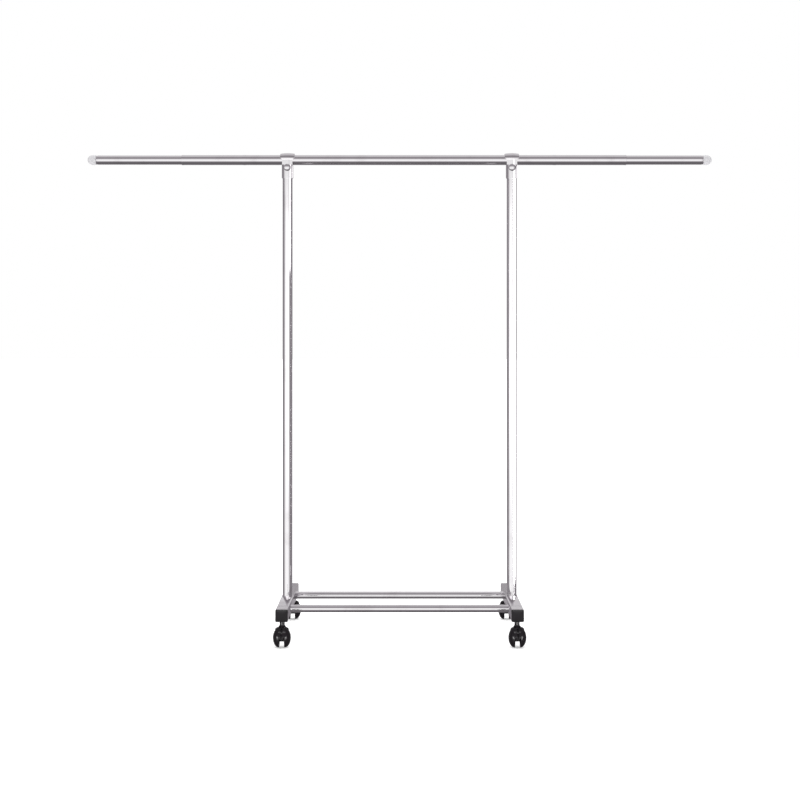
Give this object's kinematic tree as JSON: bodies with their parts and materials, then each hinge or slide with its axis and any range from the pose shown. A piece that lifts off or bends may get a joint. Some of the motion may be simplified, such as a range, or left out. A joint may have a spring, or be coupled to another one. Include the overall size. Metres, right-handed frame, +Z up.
{
  "type": "rolling clothes rack",
  "caption": "Chromed tube garment rack on swivelling twin-wheel casters, with a single hanging rod whose ends pull out to make it wider.",
  "frame": {"origin": "on the floor, midway between the posts and midway along the feet", "axes": "+X along the hanging rod, +Y from front to back, +Z up"},
  "size_m": [1.576, 0.4488, 1.2105],
  "materials": {
    "chrome": "mirror chrome plate on steel tube",
    "chrome_fastener": "chrome plated fasteners",
    "plated_steel": "zinc plated",
    "cap_plastic": "charcoal moulded",
    "caster_plastic": "glossy black moulded",
    "wheel_plastic": "glossy black moulded",
    "clear_plastic": "milky translucent",
    "bush_plastic": "natural nylon"
  },
  "bodies": {
    "frame": {"foot_left": "chrome", "foot_right": "chrome", "post_left": "chrome", "post_right": "chrome", "rail_front": "chrome", "rail_back": "chrome", "saddle_left": "chrome", "saddle_right": "chrome", "rod_main": "chrome", "post_inserts": "plated_steel", "post_bolts": "plated_steel", "rail_inserts": "plated_steel", "rail_bolts": "chrome_fastener", "saddle_bolts": "chrome_fastener", "saddle_nuts": "chrome_fastener", "caster_nuts": "plated_steel", "stem_clips": "plated_steel", "foot_cap_front_left": "cap_plastic", "caster_stem_front_left": "plated_steel", "foot_cap_front_right": "cap_plastic", "caster_stem_front_right": "plated_steel", "foot_cap_back_left": "cap_plastic", "caster_stem_back_left": "plated_steel", "foot_cap_back_right": "cap_plastic", "caster_stem_back_right": "plated_steel"},
    "extension_left": {"rod_extension_left": "chrome", "rod_glide_left": "bush_plastic", "rod_plug_left": "clear_plastic"},
    "extension_right": {"rod_extension_right": "chrome", "rod_glide_right": "bush_plastic", "rod_plug_right": "clear_plastic"},
    "caster_front_left": {"caster_hood_front_left": "caster_plastic", "caster_axle_front_left": "plated_steel"},
    "wheel_front_left_inner": {"wheel_front_left_inner": "wheel_plastic"},
    "wheel_front_left_outer": {"wheel_front_left_outer": "wheel_plastic"},
    "caster_front_right": {"caster_hood_front_right": "caster_plastic", "caster_axle_front_right": "plated_steel"},
    "wheel_front_right_inner": {"wheel_front_right_inner": "wheel_plastic"},
    "wheel_front_right_outer": {"wheel_front_right_outer": "wheel_plastic"},
    "caster_back_left": {"caster_hood_back_left": "caster_plastic", "caster_axle_back_left": "plated_steel"},
    "wheel_back_left_inner": {"wheel_back_left_inner": "wheel_plastic"},
    "wheel_back_left_outer": {"wheel_back_left_outer": "wheel_plastic"},
    "caster_back_right": {"caster_hood_back_right": "caster_plastic", "caster_axle_back_right": "plated_steel"},
    "wheel_back_right_inner": {"wheel_back_right_inner": "wheel_plastic"},
    "wheel_back_right_outer": {"wheel_back_right_outer": "wheel_plastic"}
  },
  "joints": [
    {"name": "extension_left_slide", "type": "slide", "parent": "frame", "child": "extension_left", "axis": [-1, 0, 0], "range_m": [-0.2165, 0.08]},
    {"name": "extension_right_slide", "type": "slide", "parent": "frame", "child": "extension_right", "axis": [1, 0, 0], "range_m": [-0.1945, 0.08]},
    {"name": "caster_front_left_swivel", "type": "hinge", "parent": "frame", "child": "caster_front_left", "pos_m": [-0.283, -0.187, 0.063], "axis": [0, 0, 1], "continuous": true},
    {"name": "wheel_front_left_inner_spin", "type": "hinge", "parent": "caster_front_left", "child": "wheel_front_left_inner", "pos_m": [-0.283, -0.199, 0.0236], "axis": [1, 0, 0], "continuous": true},
    {"name": "wheel_front_left_outer_spin", "type": "hinge", "parent": "caster_front_left", "child": "wheel_front_left_outer", "pos_m": [-0.283, -0.199, 0.0236], "axis": [1, 0, 0], "continuous": true},
    {"name": "caster_front_right_swivel", "type": "hinge", "parent": "frame", "child": "caster_front_right", "pos_m": [0.283, -0.187, 0.063], "axis": [0, 0, 1], "continuous": true},
    {"name": "wheel_front_right_inner_spin", "type": "hinge", "parent": "caster_front_right", "child": "wheel_front_right_inner", "pos_m": [0.283, -0.199, 0.0236], "axis": [1, 0, 0], "continuous": true},
    {"name": "wheel_front_right_outer_spin", "type": "hinge", "parent": "caster_front_right", "child": "wheel_front_right_outer", "pos_m": [0.283, -0.199, 0.0236], "axis": [1, 0, 0], "continuous": true},
    {"name": "caster_back_left_swivel", "type": "hinge", "parent": "frame", "child": "caster_back_left", "pos_m": [-0.283, 0.187, 0.063], "axis": [0, 0, 1], "continuous": true},
    {"name": "wheel_back_left_inner_spin", "type": "hinge", "parent": "caster_back_left", "child": "wheel_back_left_inner", "pos_m": [-0.283, 0.199, 0.0236], "axis": [1, 0, 0], "continuous": true},
    {"name": "wheel_back_left_outer_spin", "type": "hinge", "parent": "caster_back_left", "child": "wheel_back_left_outer", "pos_m": [-0.283, 0.199, 0.0236], "axis": [1, 0, 0], "continuous": true},
    {"name": "caster_back_right_swivel", "type": "hinge", "parent": "frame", "child": "caster_back_right", "pos_m": [0.283, 0.187, 0.063], "axis": [0, 0, 1], "continuous": true},
    {"name": "wheel_back_right_inner_spin", "type": "hinge", "parent": "caster_back_right", "child": "wheel_back_right_inner", "pos_m": [0.283, 0.199, 0.0236], "axis": [1, 0, 0], "continuous": true},
    {"name": "wheel_back_right_outer_spin", "type": "hinge", "parent": "caster_back_right", "child": "wheel_back_right_outer", "pos_m": [0.283, 0.199, 0.0236], "axis": [1, 0, 0], "continuous": true}
  ]
}
